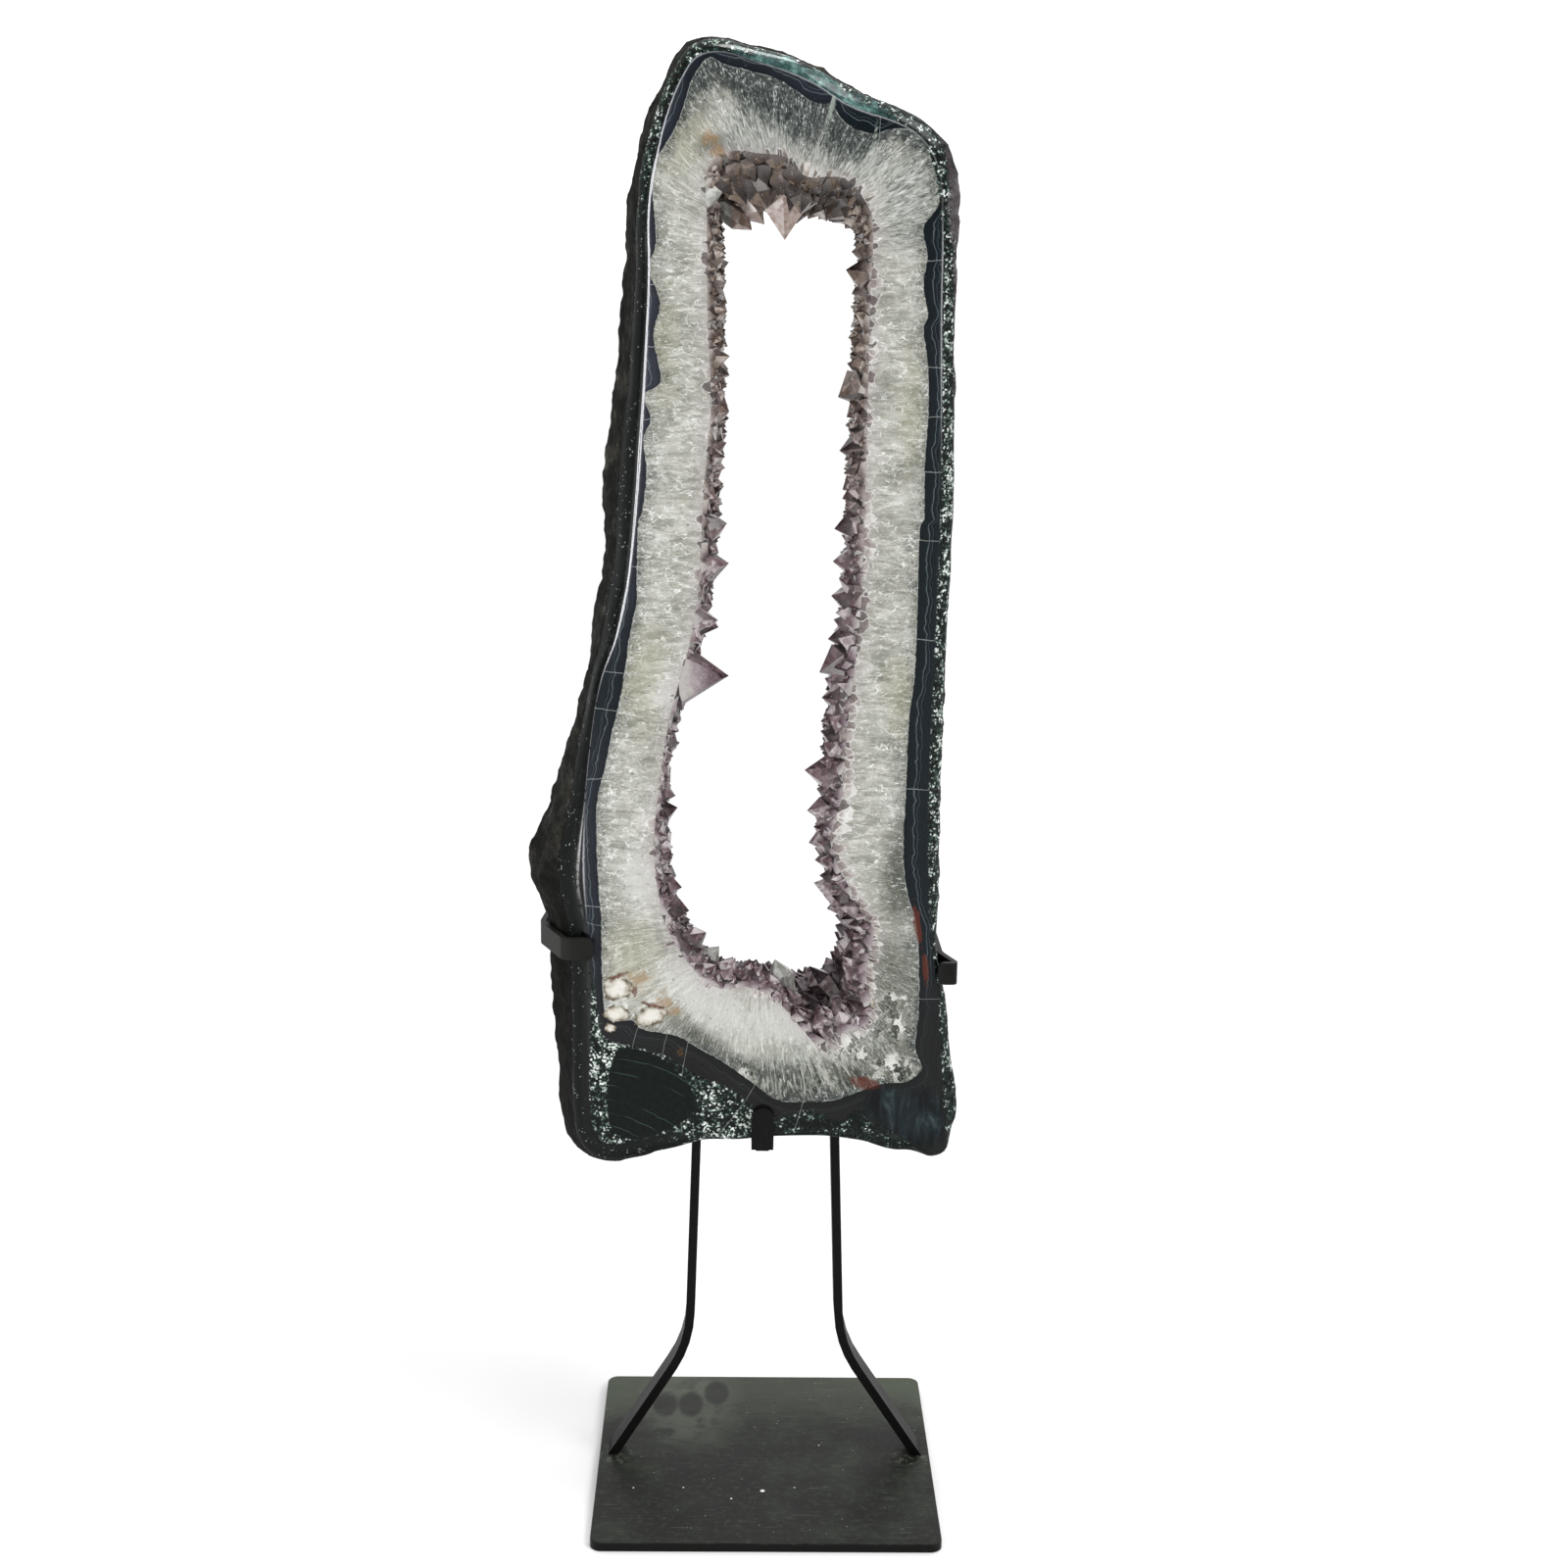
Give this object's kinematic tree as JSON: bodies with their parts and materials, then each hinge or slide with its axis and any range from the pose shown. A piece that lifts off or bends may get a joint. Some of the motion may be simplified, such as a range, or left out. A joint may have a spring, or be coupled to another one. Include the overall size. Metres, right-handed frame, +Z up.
{
  "type": "amethyst cathedral geode on a steel stand",
  "caption": "Tall polished geode slab with an open crystal-lined hollow, held upright by a black steel stand with a square base plate.",
  "frame": {"origin": "centre of the base plate's underside", "axes": "+Z up, -Y towards the viewer of the polished face, +X to the right of the face"},
  "size_m": [0.4269, 0.36, 1.4761],
  "materials": {
    "plate_steel": "matt black paint, smudged and finely scratched",
    "stand_steel": "matt black paint",
    "stone": "polished quartz and agate face, rough dark rind",
    "amethyst": "natural clear to smoky purple crystal faces"
  },
  "bodies": {
    "root": {"base_plate": "plate_steel", "leg_left": "stand_steel", "leg_right": "stand_steel", "cross_bar": "stand_steel", "arm_left": "stand_steel", "arm_right": "stand_steel", "clamp_left": "stand_steel", "clamp_right": "stand_steel", "bottom_hook": "stand_steel", "geode": "stone", "amethyst_crust": "amethyst"}
  },
  "joints": []
}
